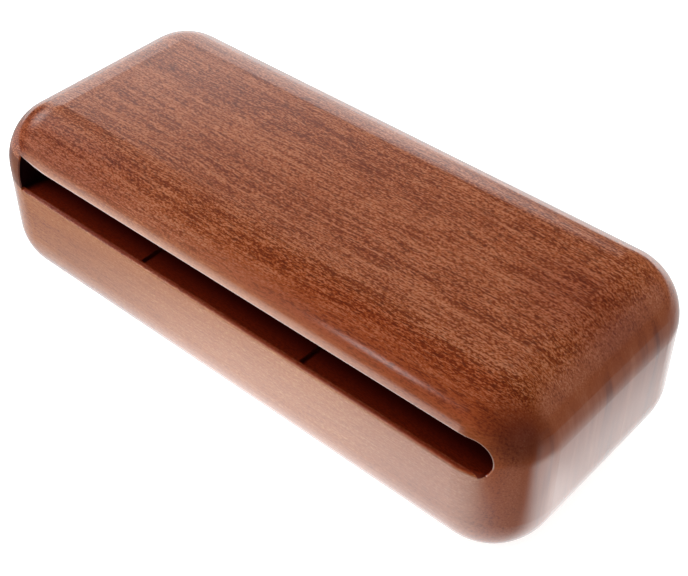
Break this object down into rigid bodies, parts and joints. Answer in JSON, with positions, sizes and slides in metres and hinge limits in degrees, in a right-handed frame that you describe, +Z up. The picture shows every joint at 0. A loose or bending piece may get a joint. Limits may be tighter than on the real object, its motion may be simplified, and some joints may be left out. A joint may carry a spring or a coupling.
{
  "type": "woodblock",
  "caption": "Hollow hardwood percussion block with rounded edges and a long sound slot in one side, struck on its top plate with a stick or mallet.",
  "frame": {"origin": "on the surface that the block stands on, under the middle of its bounding box", "axes": "+X along the length towards the slot's round end, -Y out of the slot, +Z up through the striking plate"},
  "size_m": [0.203, 0.088, 0.06],
  "materials": {
    "lacquered_hardwood": "satin lacquer over ribbon-striped reddish-brown hardwood",
    "end_block_hardwood": "satin lacquer, darker cross grain"
  },
  "bodies": {
    "root": {"striking_plate": "lacquered_hardwood", "base_block": "lacquered_hardwood", "back_rail": "lacquered_hardwood", "left_end_block": "end_block_hardwood", "right_end_block": "lacquered_hardwood"}
  },
  "joints": []
}
